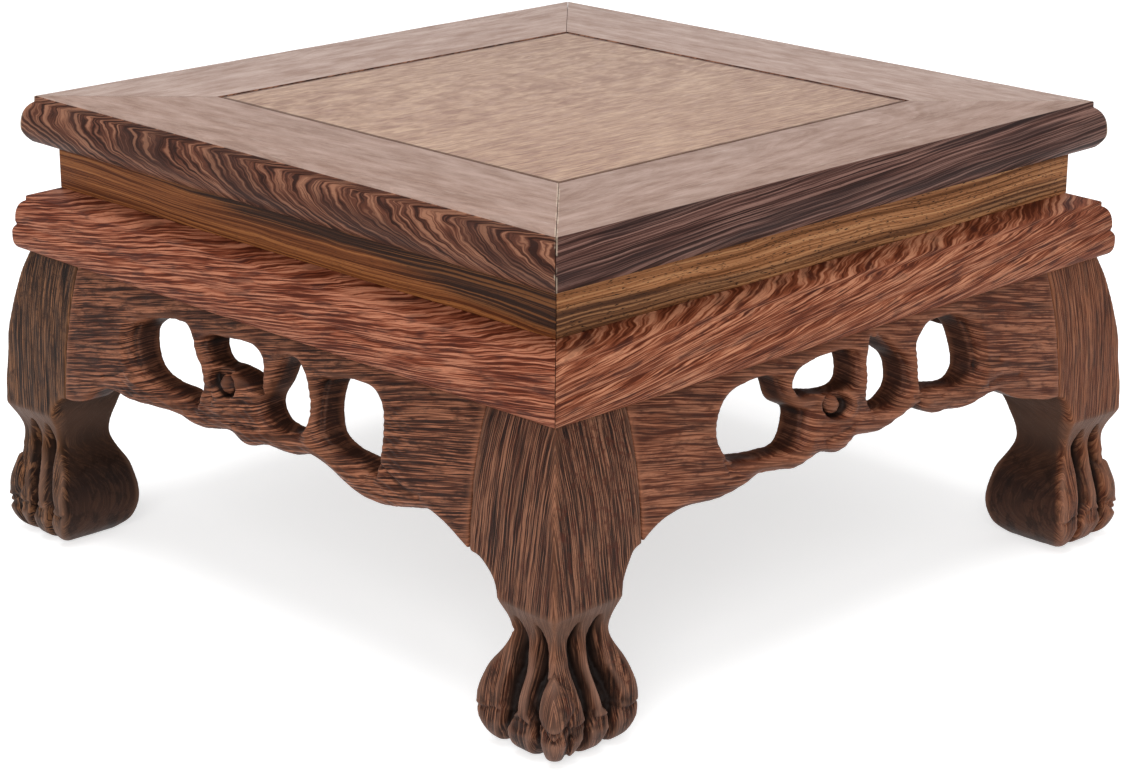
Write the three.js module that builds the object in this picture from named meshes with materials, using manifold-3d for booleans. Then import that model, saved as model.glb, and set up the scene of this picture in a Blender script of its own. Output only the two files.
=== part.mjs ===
// A square wooden display pedestal: a framed top on a waist, a moulded band,
// four pierced aprons and four swelling legs with claw feet.
// Millimetres, +Z up, origin on the floor under the middle of the top.
// Sides are numbered by quarter turns from the front, which faces -Y.
import * as THREE from 'three';
import { mergeVertices } from 'three/addons/utils/BufferGeometryUtils.js';
import Module from 'manifold-3d';

const wasm = await Module();
wasm.setup();

// The whole stand
const standHeight = 123.5;
const topWidth = 200; // flat square top, from arris to arris

// Clearances
const glueLine = 0.15; // seen joint: mitres, and apron shoulders against the legs
const clearance = 0.3; // around tongues, tenons and posts
const bite = 1; // run of a tenon's solid into its own piece, and of a cut past its piece

// Top frame: four mitred rails with a moulded edge
const frameThickness = 12.6;
const railWidth = 34.9; // from the top's arris in to the panel
const edgeStep = 1.6; // upright face under the top arris
const edgeBulge = 2.9; // widest line of the moulded edge, beyond the top arris
const edgeBulgeDrop = 8.4; // its depth below the top
const edgeFoot = 0.6; // lower arris of the moulded edge, beyond the top arris

// Joints of the frame: the panel's tongue and the mitre tenons share a level
const tongueDrop = 4; // from the top face down to the tongue
const tongueThickness = 3;
const tongueLength = 5.5;
const panelRoom = 0.8; // left in the groove for the panel to swell
const mitreTenonInset = 10.9; // from the panel joint out to the mitre tenon
const mitreTenonWidth = 14;
const mitreTenonEnd = 8; // wood left between the tenon's end and the top's arris

// Floating panel and the batten under it
const panelThickness = 7;
const panelSink = 0.2; // its face below the rails
const battenWidth = 12;
const battenDepth = 5; // below the panel
const battenStub = 4.4; // length of the stub tenons at its ends
const battenStubDepth = 2.8; // height of the stub tenons
const dovetailDepth = 2; // up into the panel
const dovetailWidth = 9.5; // across its top
const dovetailNeck = 8;

// Waist: four mitred boards with a tongue along the top and the bottom edge
const waistInset = 4.2; // behind the top's arris
const waistHeight = 12.6;
const waistThickness = 8;
const edgeTongueInset = 2.5; // from the waist's face in to its tongues
const edgeTongueThickness = 3;
const edgeTongueHeight = 2.5;

// Moulded band between the waist and the legs
const bandHeight = 17.1;
const bandReach = 9.9; // lower bead, beyond the waist's face
const bandFilletReach = 6.9; // small upright fillet at the top
const bandFilletDrop = 2.3; // fall of the top face from the waist to the fillet
const bandFillet = 1.3;
const bandBeadHeight = 6.8; // from the underside up to the quirk
const bandQuirk = 1; // depth of the quirk between the bead and the ovolo
const bandOvoloBack = 0.7; // widest line of the ovolo, behind the bead
const bandOvoloDrop = 2; // from under the fillet down to where the ovolo turns upright

// Legs and aprons share one swelling face
const faceReach = 6.7; // top of the leg's face, beyond the waist's face
const swell = 6.2; // from the face's top out to the shoulder
const swellPull = 5.6; // reach of the curve's control point
const swellPullShare = 0.6; // its share of the way up the face
const shoulderHeight = 41.5; // sharp lower edge of the swelling face
const shoulderFlat = 1.5; // upright stretch over that edge
const legFaceWidth = 22.5; // from the face's top corner in to the apron

// Claw feet
const ankleHeight = 28.5;
const ankleReach = 2.7; // beyond the top of the leg's face
const ankleWidth = 15.6;
const toeHeight = 11; // widest level of the toes
const toeReach = 7.5;
const footWidth = 26.5;
const soleInset = 5.5; // sole's edge inside the widest line, outer and inner side
const flareHeight = 4.6; // from the shoulder up to where the inner side meets the apron
const clawGrooveTop = 34;
const clawGrooveDepth = 2.4;
const clawGrooveWidth = 4.4;
const clawGroovePlaces = [[0.3, 0.35], [0.74, 0.66]]; // shares of the width at ankle and sole

// Leg posts, which rise behind the band and the waist into the frame
const postWidth = 15.9;
const postDrop = 9.2; // from the top of the leg's face down to the post's full width
const postTaper = 12; // rise of the sloping cut under that
const postTenonWidth = 5;
const postTenonHeight = 4;
const postTenonInset = 1;

// Aprons
const apronTopThickness = 8;
const apronCant = 7.2; // outward lean of the flat back over the apron's depth
const apronTenonLength = 7;
const apronTenonThickness = 3.4;
const apronTenonInset = 2.6; // behind the swelling face
const apronTenonMargin = 0.2; // share of the face's height left over and under it
const apronTongueInset = 2.1; // behind the top of the face
const apronTongueThickness = 3.2;
const apronTongueTrim = 2; // tongue stops this far from the legs
const budRadius = 4;
const budDepth = 2.8; // half its thickness
const budRise = 1.2; // how far it stands out of the face

// Two hand-cut patterns of the aprons. Points are percentages of the half length
// between the legs, and of the drop from the band to where the apron meets the legs.
const wideApron = {
  under: [[-100, 100], [-92, 96], [-82, 84], [-75, 82], [-65, 84], [-51, 82],
    [-40, 81], [-27.5, 84], [-13, 78.5], [-4, 84], [5, 79], [18, 78.5], [27, 73.5], [37, 78.5],
    [50, 88.5], [62, 89], [75, 83], [82, 81], [92, 88.5], [100, 95.5]],
  openings: [
    [[-65.5, 36], [-63, 22], [-57, 14.5], [-47, 13], [-39, 14], [-35.5, 23.5], [-33, 33.5],
      [-27.5, 45], [-26, 56.5], [-31, 65.5], [-42, 66.5], [-53, 66], [-62.5, 55]],
    [[-28, 23.5], [-25, 15], [-16, 14], [-6, 13], [0, 18], [2, 28], [-1, 35], [-11, 38], [-24, 37.5]],
    [[4.5, 53], [5.2, 37], [8, 21.5], [12.5, 12.5], [17.5, 13.5], [22, 22], [24.5, 34.5], [25.5, 46],
      [24, 57], [17, 64], [8, 63.5]],
    [[29.5, 30.5], [31, 19], [37, 13], [46, 12.5], [52.5, 14.5], [57.5, 24.5], [60, 39], [60, 55],
      [56, 66], [48, 69.5], [40, 68.5], [33, 61.5], [30, 46.5]],
  ],
  bud: [-13.5, 45],
};
const narrowApron = {
  under: [[-100, 91], [-92, 82], [-80, 78], [-67, 81.5], [-47, 78.5], [-35, 79.5], [-20, 73.5],
    [-11, 77.5], [-3, 70.5], [8, 73], [18, 68.5], [25, 65], [29, 72], [40, 75.5], [52, 78],
    [64, 73.5], [75, 71], [85, 82.5], [92.5, 93], [100, 96]],
  openings: [
    [[-66, 41.5], [-64, 25], [-58, 14], [-50, 10.5], [-41, 10.5], [-35, 17], [-32, 31], [-26.5, 43.5],
      [-26, 54], [-31, 66], [-41, 65.5], [-51.5, 63], [-62, 56.5]],
    [[-30, 23], [-28, 14], [-20, 9], [-10, 8.5], [-2, 12.5], [0.5, 23], [-2, 34.5], [-11, 35], [-20, 31],
      [-27.5, 30]],
    [[2, 50], [3.8, 34.5], [4.8, 21.5], [8, 10], [14, 10], [19.5, 16], [22.5, 25.5], [23.5, 37.5],
      [21.5, 50.5], [15, 59.5], [6, 59]],
    [[27.5, 32.5], [28.5, 19], [33, 10], [40, 8], [48, 11.5], [53.5, 23], [55.7, 39], [54, 55],
      [48, 62], [37.5, 61.5], [30, 55]],
  ],
  bud: [-17.5, 39.5],
};

// Steps along the curves
const curveSegments = 6; // of each curve in the mouldings
const swellSteps = 8;
const underSteps = 44;
const openingSteps = 2; // between two of an opening's points
const legOuterSteps = 21;
const legInnerSteps = 24;
const budSegments = 12;

// Levels above the floor
const frameBottom = standHeight - frameThickness;
const bandTop = frameBottom - waistHeight;
const legTop = bandTop - bandHeight;
const tongueTop = standHeight - tongueDrop;
const panelTop = standHeight - panelSink;
const panelBottom = panelTop - panelThickness;
const apronFoot = shoulderHeight + flareHeight;
const toeWaist = toeHeight * 1.6; // where the claw grooves turn outwards

// Distances out from the middle of the stand
const topArris = topWidth / 2;
const railInner = topArris - railWidth;
const waistFace = topArris - waistInset;
const waistBack = waistFace - waistThickness;
const edgeTongueFace = waistFace - edgeTongueInset;
const faceTop = waistFace + faceReach;
const seam = faceTop - legFaceWidth;
const shoulder = faceTop + swell;
const postFace = waistBack - clearance;
const postBack = postFace - postWidth;
const apronBackTop = faceTop - apronTopThickness;
const ankleOut = faceTop + ankleReach;
const ankleIn = ankleOut - ankleWidth;
const toeOut = faceTop + toeReach;
const footIn = toeOut - footWidth;

// Woods, which differ from board to board
const wood = (color, roughness = 0.5) => new THREE.MeshStandardMaterial({ color, roughness, metalness: 0 });
const railColors = [0x5b3a30, 0x4b332f, 0x5a3a30, 0x523630];
const waistColors = [0x8a5a33, 0x9a6c3e, 0x7e5230, 0x8c6038];
const bandColor = 0x7c412d;
const apronColor = 0x64392a;
const legColor = 0x553429;
const panelColor = 0x9b7257;
const battenColor = 0x7a5238;

// Views that outlines are drawn in, each with the way it is extruded
const view = (right, up) => new THREE.Matrix4().makeBasis(right, up, right.clone().cross(up));
const plan = view(new THREE.Vector3(1, 0, 0), new THREE.Vector3(0, 1, 0)); // extruded up
const face = view(new THREE.Vector3(1, 0, 0), new THREE.Vector3(0, 0, 1)); // extruded out at the front
const section = view(new THREE.Vector3(0, -1, 0), new THREE.Vector3(0, 0, 1)); // out to the right, along -X

function solidOf(geometry) {
  geometry.deleteAttribute('normal');
  geometry.deleteAttribute('uv');
  const merged = mergeVertices(geometry, 1e-4);
  return new wasm.Manifold(new wasm.Mesh({
    numProp: 3,
    vertProperties: Float32Array.from(merged.attributes.position.array),
    triVerts: Uint32Array.from(merged.index.array),
  }));
}

function prism(shape, drawnIn, from, to) {
  const options = { depth: to - from, bevelEnabled: false, curveSegments };
  const geometry = new THREE.ExtrudeGeometry(shape, options);
  geometry.translate(0, 0, from);
  geometry.applyMatrix4(drawnIn);
  return solidOf(geometry);
}

const between = (from, to, share) => from + (to - from) * share;
const polygon = (points) => new THREE.Shape(points.map(([x, y]) => new THREE.Vector2(x, y)));
const rectangle = (x0, y0, x1, y1) => polygon([[x0, y0], [x1, y0], [x1, y1], [x0, y1]]);
const block = (x0, x1, y0, y1, z0, z1) => prism(rectangle(x0, y0, x1, y1), plan, z0, z1);

function meshOf(name, solid, material) {
  const { vertProperties, triVerts } = solid.getMesh();
  const geometry = new THREE.BufferGeometry();
  geometry.setAttribute('position', new THREE.BufferAttribute(vertProperties, 3));
  geometry.setIndex(new THREE.BufferAttribute(triVerts, 1));
  geometry.computeVertexNormals();
  const mesh = new THREE.Mesh(geometry, material);
  mesh.name = name;
  return mesh;
}

// A bar along the front side, with its ends cut on the mitres
function mitredBar(shape, inner, outer) {
  const back = glueLine / Math.SQRT2;
  const wedge = polygon([
    [back - inner, -inner], [back - outer, -outer], [outer - back, -outer], [inner - back, -inner],
  ]);
  return prism(shape, section, -outer, outer).intersect(prism(wedge, plan, 0, standHeight));
}

// Tongue along the waist's edges, and the groove that takes it
const edgeTongue = (low, high, room) => rectangle(
  edgeTongueFace - edgeTongueThickness - room, low - room, edgeTongueFace + room, high + room,
);

function railShape() {
  const shape = new THREE.Shape();
  shape.moveTo(railInner, frameBottom);
  shape.lineTo(topArris + edgeFoot, frameBottom);
  shape.quadraticCurveTo(
    topArris + edgeBulge, (frameBottom + standHeight - edgeBulgeDrop) / 2,
    topArris + edgeBulge, standHeight - edgeBulgeDrop,
  );
  shape.quadraticCurveTo(
    topArris + edgeBulge, standHeight - edgeStep * 2,
    topArris, standHeight - edgeStep,
  );
  shape.lineTo(topArris, standHeight);
  shape.lineTo(railInner, standHeight);
  return shape;
}

// Mitre tenon at the right end of a side's rail
function mitreTenon(room) {
  const inner = railInner + mitreTenonInset;
  return block(
    railInner, topArris - mitreTenonEnd + room,
    -inner - mitreTenonWidth - room, -inner + room,
    tongueTop - tongueThickness - room, tongueTop + room,
  );
}

// Left for right, and across the diagonal of the front right corner
const mirrored = (solid) => solid.mirror([1, 0, 0]);
const acrossCorner = (solid) => solid.mirror([1, 1, 0]);

// The mitre tenon's place in the rail that it enters, seen from that rail's own side
const entered = (solid) => mirrored(solid).rotate([0, 0, 90]);

// Tenon on top of the front right leg's post, in the front rail. The leg has
// another across the corner.
function postTenon(room) {
  const inner = postBack + postTenonInset;
  const outer = postFace - postTenonInset;
  return block(
    inner - room, inner + postTenonWidth + room,
    -outer - room, -outer + postTenonWidth + room,
    frameBottom - bite, frameBottom + postTenonHeight + room,
  );
}

// The batten's stub tenon, drawn where it would enter the front rail
function stubTenon(room) {
  const low = panelBottom - battenDepth / 2 - battenStubDepth / 2;
  return block(
    -battenWidth / 2 - room, battenWidth / 2 + room,
    -railInner - battenStub - room, -railInner + bite,
    low - room, low + battenStubDepth + room,
  );
}

function railSolid(endsHaveTenons) {
  const grooveEnd = railInner + tongueLength + panelRoom;
  let rail = mitredBar(railShape(), railInner, topArris + edgeBulge);
  rail = rail.subtract(prism(
    rectangle(0, tongueTop - tongueThickness - clearance, grooveEnd, tongueTop + clearance),
    section, -topWidth, topWidth,
  ));
  rail = rail.subtract(prism(
    edgeTongue(frameBottom, frameBottom + edgeTongueHeight, clearance), section, -topWidth, topWidth,
  ));
  const post = postTenon(clearance);
  rail = rail.subtract(post).subtract(mirrored(post));
  if (!endsHaveTenons) {
    const mortise = entered(mitreTenon(clearance));
    return rail.subtract(mortise).subtract(mirrored(mortise));
  }
  const tenon = mitreTenon(0);
  const stub = stubTenon(clearance);
  return rail.add(tenon).add(mirrored(tenon)).subtract(stub);
}

// The dovetail runs along X across the panel's grain
const dovetail = (room) => polygon([
  [-dovetailNeck / 2 - room, panelBottom - clearance], [dovetailNeck / 2 + room, panelBottom - clearance],
  [dovetailWidth / 2 + room, panelBottom + dovetailDepth + room],
  [-dovetailWidth / 2 - room, panelBottom + dovetailDepth + room],
]);

function panelSolid() {
  const seen = railInner - clearance;
  const hidden = railInner + tongueLength;
  const tongue = block(-hidden, hidden, -hidden, hidden, tongueTop - tongueThickness, tongueTop);
  const body = block(-seen, seen, -seen, seen, panelBottom, panelTop);
  return body.add(tongue).subtract(prism(dovetail(clearance), section, -topWidth, topWidth));
}

function battenSolid() {
  const end = railInner - clearance;
  const low = panelBottom - battenDepth;
  const body = block(-end, end, -battenWidth / 2, battenWidth / 2, low, panelBottom - clearance);
  const stub = stubTenon(0).rotate([0, 0, 90]);
  return body.add(prism(dovetail(0), section, -end, end)).add(stub).add(mirrored(stub));
}

function waistSolid() {
  const shape = rectangle(waistBack, bandTop, waistFace, frameBottom);
  const tongues = edgeTongue(bandTop - edgeTongueHeight, frameBottom + edgeTongueHeight, 0);
  return mitredBar(shape, waistBack, waistFace).add(mitredBar(tongues, waistBack, waistFace));
}

function bandShape() {
  const fillet = waistFace + bandFilletReach;
  const filletTop = bandTop - bandFilletDrop;
  const bead = waistFace + bandReach;
  const quirk = legTop + bandBeadHeight;
  const shape = new THREE.Shape();
  shape.moveTo(waistBack, legTop);
  shape.lineTo(bead - bandBeadHeight / 3, legTop);
  shape.quadraticCurveTo(bead, legTop, bead, legTop + bandBeadHeight / 2);
  shape.lineTo(bead, quirk - bandQuirk * 2);
  shape.quadraticCurveTo(bead, quirk - bandQuirk, bead - bandQuirk, quirk);
  shape.lineTo(bead - bandOvoloBack, quirk + bandQuirk);
  shape.quadraticCurveTo(
    bead - bandOvoloBack, filletTop - bandOvoloDrop,
    fillet, filletTop - bandFillet,
  );
  shape.lineTo(fillet, filletTop);
  shape.lineTo(waistFace, bandTop);
  shape.lineTo(waistBack, bandTop);
  return shape;
}

// Tongue along the apron's top, drawn in section
const apronTongue = (room) => rectangle(
  faceTop - apronTongueInset - apronTongueThickness - room, legTop - bite,
  faceTop - apronTongueInset + room, legTop + edgeTongueHeight + room,
);

function bandSolid() {
  const bar = mitredBar(bandShape(), waistBack, waistFace + bandReach);
  const waistGroove = edgeTongue(bandTop - edgeTongueHeight, bandTop, clearance);
  const apronEnd = seam - apronTongueTrim + clearance;
  return bar
    .subtract(prism(waistGroove, section, -topWidth, topWidth))
    .subtract(prism(apronTongue(clearance), section, -apronEnd, apronEnd));
}

// The swelling face, from its top down to the shoulder's upright stretch
const swellFoot = shoulderHeight + shoulderFlat;
const swellCurve = new THREE.QuadraticBezierCurve(
  new THREE.Vector2(faceTop, legTop),
  new THREE.Vector2(faceTop + swellPull, between(swellFoot, legTop, swellPullShare)),
  new THREE.Vector2(shoulder, swellFoot),
);
const swellPoints = () => swellCurve.getPoints(swellSteps).map((p) => [p.x, p.y]);

// Flat back of the apron at a given height
const apronBack = (height) => apronBackTop + apronCant * (legTop - height) / (legTop - shoulderHeight);

// End tenon of the apron, which leans with the board
function apronTenonShape(room) {
  const high = swellCurve.getPoint(apronTenonMargin);
  const low = swellCurve.getPoint(1 - apronTenonMargin);
  const outer = apronTenonInset - room;
  const inner = apronTenonInset + apronTenonThickness + room;
  return polygon([
    [high.x - outer, high.y + room], [high.x - inner, high.y + room],
    [low.x - inner, low.y - room], [low.x - outer, low.y - room],
  ]);
}

const alongApron = ([percent]) => seam * percent / 100;
const downApron = ([, percent]) => legTop - (legTop - apronFoot) * percent / 100;
const onApron = (point) => new THREE.Vector2(alongApron(point), downApron(point));

// Smooth closed outline through an opening's points
function openingPath(points) {
  const ring = points.map(onApron).map((p) => new THREE.Vector3(p.x, p.y, 0));
  const curve = new THREE.CatmullRomCurve3(ring, true, 'centripetal');
  const outline = curve.getPoints(ring.length * openingSteps).slice(0, -1);
  return new THREE.Path(outline.map((p) => new THREE.Vector2(p.x, p.y)));
}

function apronSolid(pattern) {
  const end = seam - glueLine;
  const under = new THREE.SplineCurve(pattern.under.map(onApron)).getPoints(underSteps);
  const underPoints = under.map((p) => [THREE.MathUtils.clamp(p.x, -end, end), p.y]);
  const shape = polygon([[-end, legTop], ...underPoints, [end, legTop]]);
  shape.holes = pattern.openings.map(openingPath);
  const low = shoulderHeight;
  const boardShape = polygon([
    ...swellPoints(), [shoulder, low], [apronBack(low), low], [apronBackTop, legTop],
  ]);
  const board = prism(shape, face, 0, topWidth).intersect(prism(boardShape, section, -end, end));
  const tongueEnd = seam - apronTongueTrim;
  const tenonEnd = seam + apronTenonLength;
  const tenon = prism(apronTenonShape(0), section, -tenonEnd, apronTenonLength - seam);
  const tongue = prism(apronTongue(0), section, -tongueEnd, tongueEnd);
  return board.add(tongue).add(tenon).add(mirrored(tenon)).add(budSolid(pattern));
}

// Round flower bud on the branch over the second opening's foot
function budSolid(pattern) {
  const centre = onApron(pattern.bud);
  const facing = swellCurve.getPoints(underSteps).reduce((best, p) => (
    Math.abs(p.y - centre.y) < Math.abs(best.y - centre.y) ? p : best
  ));
  const bud = new THREE.SphereGeometry(budRadius, budSegments, budSegments * 2 / 3);
  bud.scale(1, budDepth / budRadius, 1);
  bud.translate(centre.x, budDepth - budRise - facing.x, centre.y);
  return solidOf(bud);
}

// Outline of the leg seen square on from either side: distance out, height.
// An inset draws in the face under the shoulder, for the floor of the claw grooves.
function legOutline(inset) {
  const outer = new THREE.SplineCurve([
    new THREE.Vector2(shoulder, shoulderHeight),
    new THREE.Vector2(
      between(shoulder, ankleOut, 0.7) - inset / 2, between(shoulderHeight, ankleHeight, 0.47),
    ),
    new THREE.Vector2(ankleOut - inset, ankleHeight),
    new THREE.Vector2(between(ankleOut, toeOut, 0.5) - inset, between(ankleHeight, toeHeight, 0.37)),
    new THREE.Vector2(between(ankleOut, toeOut, 0.93) - inset, between(ankleHeight, toeHeight, 0.75)),
    new THREE.Vector2(toeOut - inset, between(toeHeight, 0, 0.3)),
    new THREE.Vector2(toeOut - soleInset * 0.35 - inset, between(toeHeight, 0, 0.77)),
    new THREE.Vector2(toeOut - soleInset - inset, 0),
  ]).getPoints(legOuterSteps);
  const inner = new THREE.SplineCurve([
    new THREE.Vector2(footIn + soleInset, 0),
    new THREE.Vector2(footIn + soleInset * 0.3, between(0, toeHeight, 0.35)),
    new THREE.Vector2(footIn, between(0, toeHeight, 0.95)),
    new THREE.Vector2(between(footIn, ankleIn, 0.48), between(toeHeight, ankleHeight, 0.48)),
    new THREE.Vector2(ankleIn, ankleHeight),
    new THREE.Vector2(between(seam, ankleIn, 0.9), between(ankleHeight, shoulderHeight, 0.66)),
    new THREE.Vector2(between(seam, ankleIn, 0.77), shoulderHeight),
    new THREE.Vector2(between(seam, ankleIn, 0.45), between(shoulderHeight, apronFoot, 0.8)),
    new THREE.Vector2(seam, apronFoot),
  ]).getPoints(legInnerSteps);
  return polygon([
    ...swellPoints(), ...[...outer, ...inner].map((p) => [p.x, p.y]),
    [seam, legTop - postDrop - postTaper], [postBack, legTop - postDrop], [postBack, frameBottom],
    [postFace, frameBottom], [postFace, legTop],
  ]);
}

// An outline cut square from both faces of the front right corner
const bothWays = (shape) => prism(shape, face, 0, topWidth).intersect(prism(shape, section, -topWidth, 0));

// Groove between two toes, drawn on one face and cut on both
function clawGroove([ankleShare, soleShare]) {
  const atAnkle = between(ankleIn, ankleOut, ankleShare);
  const atSole = between(footIn, toeOut, soleShare);
  const midway = between(atAnkle, atSole, 0.5);
  const half = clawGrooveWidth / 2;
  return polygon([
    [atAnkle, clawGrooveTop], [atAnkle - half, ankleHeight], [midway - half, toeWaist],
    [atSole - half, toeHeight], [atSole - half, -bite], [atSole + half, -bite],
    [atSole + half, toeHeight], [midway + half, toeWaist], [atAnkle + half, ankleHeight],
  ]);
}

function legSolid() {
  // Grooves only reach the outer faces, so they start outside the inner corner of the foot
  const grooveFrom = between(ankleIn, ankleOut, 0.5);
  let leg = bothWays(legOutline(0));
  for (const places of clawGroovePlaces) {
    const shape = clawGroove(places);
    leg = leg.subtract(prism(shape, face, grooveFrom, topWidth));
    leg = leg.subtract(prism(shape, section, -topWidth, -grooveFrom));
  }
  leg = leg.add(bothWays(legOutline(clawGrooveDepth)));

  // Bays beside the leg's faces, where the aprons end
  const low = shoulderHeight;
  const bay = polygon([
    [apronBackTop - clearance, legTop + bite], [apronBackTop - clearance, legTop],
    [apronBack(low) - clearance, low], [topWidth, low], [topWidth, legTop + bite],
  ]);
  const mortise = apronTenonShape(clearance);
  const cuts = prism(bay, section, -seam, 0)
    .add(prism(mortise, section, -seam - apronTenonLength - clearance, 0));
  const tenon = postTenon(0);
  return leg.subtract(cuts).subtract(acrossCorner(cuts)).add(tenon).add(acrossCorner(tenon));
}

const stand = new THREE.Group();
const sideNames = ['front', 'right', 'back', 'left'];
sideNames.forEach((side, turns) => {
  const group = new THREE.Group();
  group.rotation.z = turns * Math.PI / 2;
  const sideways = turns % 2 === 1;
  group.add(
    meshOf(`${side}_top_rail`, railSolid(sideways), wood(railColors[turns], 0.55)),
    meshOf(`${side}_waist_board`, waistSolid(), wood(waistColors[turns])),
    meshOf(`${side}_band_moulding`, bandSolid(), wood(bandColor)),
    meshOf(`${side}_apron`, apronSolid(sideways ? narrowApron : wideApron), wood(apronColor)),
  );
  stand.add(group);
});

['front_right', 'back_right', 'back_left', 'front_left'].forEach((corner, turns) => {
  const group = new THREE.Group();
  group.rotation.z = turns * Math.PI / 2;
  group.add(meshOf(`${corner}_leg`, legSolid(), wood(legColor)));
  stand.add(group);
});

stand.add(
  meshOf('top_panel', panelSolid(), wood(panelColor, 0.6)),
  meshOf('panel_batten', battenSolid(), wood(battenColor, 0.7)),
);

export default stand;
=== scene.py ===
import math

import bmesh
import bpy
import numpy as np
import openvdb
from mathutils import Matrix, Vector


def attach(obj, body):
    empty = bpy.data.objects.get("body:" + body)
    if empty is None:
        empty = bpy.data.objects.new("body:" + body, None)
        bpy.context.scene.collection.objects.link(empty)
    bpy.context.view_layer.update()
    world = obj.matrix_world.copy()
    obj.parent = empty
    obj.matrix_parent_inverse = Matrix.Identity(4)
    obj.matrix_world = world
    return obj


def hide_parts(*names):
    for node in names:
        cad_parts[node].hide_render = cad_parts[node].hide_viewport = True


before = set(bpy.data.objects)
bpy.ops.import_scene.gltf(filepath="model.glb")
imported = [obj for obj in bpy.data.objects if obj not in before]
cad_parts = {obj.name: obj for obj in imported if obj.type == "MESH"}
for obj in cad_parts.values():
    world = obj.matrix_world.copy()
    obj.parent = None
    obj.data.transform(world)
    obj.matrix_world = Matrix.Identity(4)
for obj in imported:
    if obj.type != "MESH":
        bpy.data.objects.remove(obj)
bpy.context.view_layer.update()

MM = 0.001
SIDES = ("front", "right", "back", "left")
CORNERS = ("front_right", "back_right", "back_left", "front_left")

# Levels
FRAME_TOP = 123.5
FRAME_BOTTOM = 110.9
WAIST_BOTTOM = 98.3
LEG_TOP = 81.2
SHOULDER_HEIGHT = 41.5
SHOULDER_FLAT = 1.5
APRON_FOOT = 46.1
POST_FOOT = LEG_TOP - 9.2
PANEL_TOP = 123.3
PANEL_THICKNESS = 7.0

# Distances out from the middle
TOP_ARRIS = 100.0
RAIL_INNER = 65.1
WAIST_FACE = 95.8
WAIST_BACK = 87.8
FACE_TOP = 102.5
SWELL_PULL = 5.6
SHOULDER = 109.0
SEAM = 80.0
POST_FACE = 87.5
POST_BACK = 71.6
APRON_BACK_TOP = 94.5
APRON_CANT = 7.2

GLUE_LINE = 0.15
CLEARANCE = 0.3
JOINT_SHADOW_FROM = 63.4  # painted shadow darkens the panel from here to the frame

# The foot, out and height
ANKLE = (105.8, 28.5)
TOE = (110.0, 11.0)
# How far out the legs' inner sides lie, at their left and their right face. The legs are
# two pairs, each of a leg and the one opposite to it.
LEG_INSIDES = (
    {"foot": (83.5, 82.0), "ankle": (91.0, 87.6), "flare": 0.8},
    {"foot": (83.5, 83.0), "ankle": (88.6, 88.6), "flare": 0.6},
)
SOLE_INSET = 5.5
POST_TAPER = 12.0

# Carved pieces are cut from blocks of small cells of this size
CELL = 0.4

# Depth of the marks of tools, and how far edges are rounded
TOOL_MARKS = 0.05
PLANE_MARKS = 0.12
SOLE_ROUNDING = 0.9
INNER_ROUNDING = 0.7
BACK_ROUNDING = 0.8
# Rounding of a leg's outer corner at some heights
CORNER_HEIGHTS = (0, 3, 8, 15, 22, 28, 36, 40.5, 43, 80)
CORNER_ROUNDINGS = (0.9, 1.5, 2.5, 3.2, 2.2, 0.8, 1.0, 1.0, 0.8, 0.7)

LENGTHS = 120  # rows of points along a moulding
SHARP_ANGLE = math.radians(40)

# Camera, in metres and in degrees: round from the front, up, and tilt
EYE = (0.52465, -0.51398, 0.28506)
VIEW_ANGLES = (45.57, 18.24, 0.18)
FOCAL_LENGTH = 89.68

# Light that the white room gives, and the floor's own glow
ROOM_LIGHT = 0.5
FLOOR_GLOW = 0.6


def between(start, end, share):
    return start + (end - start) * share


def bezier(start, pull, end, steps):
    """A curve from start to end that bends toward the pull."""
    t = np.linspace(0, 1, steps + 1)[:, None]
    return (1 - t) ** 2 * np.array(start) + 2 * t * (1 - t) * np.array(pull) + t * t * np.array(end)


def smooth_through(points, steps, closed):
    """A smooth line through points. A closed one is drawn tighter round its sharp turns."""
    points = np.array(points, dtype=float)
    count = len(points)
    drawn = []
    for i in range(count if closed else count - 1):
        if closed:
            a, b, c, d = (points[(i + k) % count] for k in (-1, 0, 1, 2))
            gaps = [max(np.linalg.norm(q - p), 1e-6) ** 0.5 for p, q in ((a, b), (b, c), (c, d))]
        else:
            a, b, c, d = (points[min(max(i + k, 0), count - 1)] for k in (-1, 0, 1, 2))
            gaps = [1.0, 1.0, 1.0]
        first, middle, last = gaps
        leave = middle * ((b - a) / first - (c - a) / (first + middle) + (c - b) / middle)
        arrive = middle * ((c - b) / middle - (d - b) / (middle + last) + (d - c) / last)
        for t in np.arange(steps) / steps:
            drawn.append(
                b + leave * t + (3 * (c - b) - 2 * leave - arrive) * t ** 2
                + (2 * (b - c) + leave + arrive) * t ** 3
            )
    if not closed:
        drawn.append(points[-1])
    return np.array(drawn)


# The swelling face that legs and aprons share, from its top to the shoulder
SWELL_FOOT = SHOULDER_HEIGHT + SHOULDER_FLAT
swell = bezier(
    (FACE_TOP, LEG_TOP), (FACE_TOP + SWELL_PULL, between(SWELL_FOOT, LEG_TOP, 0.6)),
    (SHOULDER, SWELL_FOOT), 40,
)

leg_below_shoulder = smooth_through([
    (SHOULDER, SHOULDER_HEIGHT),
    (between(SHOULDER, ANKLE[0], 0.7), between(SHOULDER_HEIGHT, ANKLE[1], 0.47)),
    ANKLE,
    (between(ANKLE[0], TOE[0], 0.5), between(ANKLE[1], TOE[1], 0.37)),
    (between(ANKLE[0], TOE[0], 0.93), between(ANKLE[1], TOE[1], 0.75)),
    (TOE[0], TOE[1] * 0.7),
    (TOE[0] - SOLE_INSET * 0.35, TOE[1] * 0.23),
    (TOE[0] - SOLE_INSET, 0),
], 12, closed=False)


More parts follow.
